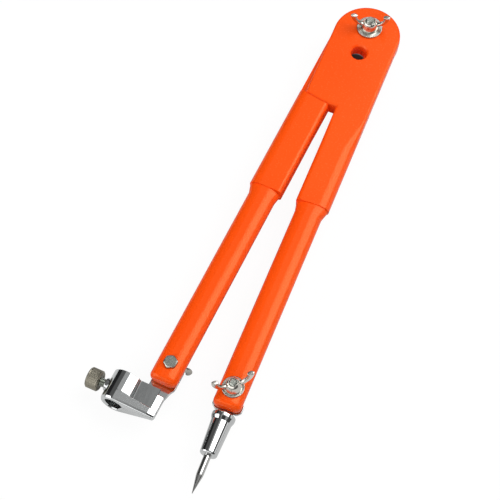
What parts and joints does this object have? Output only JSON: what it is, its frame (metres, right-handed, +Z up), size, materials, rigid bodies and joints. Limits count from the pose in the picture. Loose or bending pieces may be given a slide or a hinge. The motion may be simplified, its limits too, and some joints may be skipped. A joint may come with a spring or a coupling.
{
  "type": "two-leg compass",
  "caption": "Two-leg carpenter's compass: plastic legs half-lapped at a wing-nut pivot, a chromed pencil clamp on one foot and a steel point in a chromed holder on the other.",
  "frame": {"origin": "centre of the underside of the bounding box of the compass, lying on its back with the legs 4 degrees apart", "axes": "+Y along the middle line between the legs, from the feet towards the pivot; +X towards the leg with the steel point; +Z up, out of the front face"},
  "size_m": [0.0864, 0.3192, 0.0393],
  "materials": {
    "orange_plastic": "glossy orange-red injection-moulded ABS",
    "bolt_steel": "zinc-plated steel",
    "washer_steel": "zinc-plated steel",
    "wing_nut_nickel": "bright nickel plate on a forged nut",
    "cast_chrome": "bright chrome plate on a die casting",
    "turned_chrome": "bright chrome plate on turned steel",
    "thumb_screw_nickel": "nickel plate, knurled head",
    "needle_steel": "ground and polished steel"
  },
  "bodies": {
    "front_leg": {"front_leg": "orange_plastic", "pivot_bolt": "bolt_steel", "pivot_back_washer": "washer_steel", "needle_bolt": "bolt_steel"},
    "back_leg": {"back_leg": "orange_plastic", "pencil_bolt": "bolt_steel"},
    "pivot_washer": {"pivot_front_washer": "washer_steel"},
    "pivot_wing_nut": {"pivot_wing_nut": "wing_nut_nickel"},
    "needle_washer": {"needle_washer": "washer_steel"},
    "needle_wing_nut": {"needle_wing_nut": "wing_nut_nickel"},
    "pencil_washer": {"pencil_washer": "washer_steel"},
    "pencil_wing_nut": {"pencil_wing_nut": "wing_nut_nickel"},
    "needle_holder": {"needle_holder": "turned_chrome", "needle": "needle_steel"},
    "pencil_clamp": {"pencil_clamp": "cast_chrome"},
    "thumb_screw_shank": {"thumb_screw_shank": "thumb_screw_nickel"},
    "thumb_screw_head": {"thumb_screw_head": "thumb_screw_nickel"}
  },
  "joints": [
    {"name": "leg_opening", "type": "hinge", "parent": "front_leg", "child": "back_leg", "pos_m": [0.01534, 0.14438, 0.02075], "axis": [0, 0, -1], "range_deg": [-3.5, 120]},
    {"name": "needle_holder_swing", "type": "hinge", "parent": "front_leg", "child": "needle_holder", "pos_m": [0.03358, -0.10013, 0.02075], "axis": [0, 0, 1], "range_deg": [-10, 12]},
    {"name": "pencil_clamp_swing", "type": "hinge", "parent": "back_leg", "child": "pencil_clamp", "pos_m": [-0.00291, -0.10013, 0.02075], "axis": [0, 0, -1], "range_deg": [-10, 60]},
    {"name": "pivot_washer_lift", "type": "slide", "parent": "front_leg", "child": "pivot_washer", "axis": [0, 0, 1], "range_m": [0, 0.0012]},
    {"name": "pivot_nut_turn", "type": "hinge", "parent": "pivot_washer", "child": "pivot_wing_nut", "pos_m": [0.01534, 0.14438, 0.02075], "axis": [0, 0, 1], "range_deg": [0, 540]},
    {"name": "needle_washer_lift", "type": "slide", "parent": "front_leg", "child": "needle_washer", "axis": [0, 0, 1], "range_m": [0, 0.00105]},
    {"name": "needle_nut_turn", "type": "hinge", "parent": "needle_washer", "child": "needle_wing_nut", "pos_m": [0.03358, -0.10013, 0.02075], "axis": [0, 0, 1], "range_deg": [0, 540]},
    {"name": "pencil_washer_lift", "type": "slide", "parent": "back_leg", "child": "pencil_washer", "axis": [0, 0, -1], "range_m": [0, 0.00105]},
    {"name": "pencil_nut_turn", "type": "hinge", "parent": "pencil_washer", "child": "pencil_wing_nut", "pos_m": [-0.00291, -0.10013, 0.02075], "axis": [0, 0, -1], "range_deg": [0, 540]},
    {"name": "thumb_screw_travel", "type": "slide", "parent": "pencil_clamp", "child": "thumb_screw_shank", "axis": [0.9994, -0.0349, 0], "range_m": [-0.0016, 0.0024]},
    {"name": "thumb_screw_turn", "type": "hinge", "parent": "thumb_screw_shank", "child": "thumb_screw_head", "pos_m": [-0.03563, -0.1203, 0.01225], "axis": [0.9994, -0.0349, 0], "range_deg": [-720, 1080]}
  ],
  "couplings": [
    {"joint": "pivot_nut_turn", "follows": "pivot_washer_lift", "rad_per_m": 7854},
    {"joint": "needle_nut_turn", "follows": "needle_washer_lift", "rad_per_m": 8976},
    {"joint": "pencil_nut_turn", "follows": "pencil_washer_lift", "rad_per_m": 8976},
    {"joint": "thumb_screw_turn", "follows": "thumb_screw_travel", "rad_per_m": 7854}
  ]
}
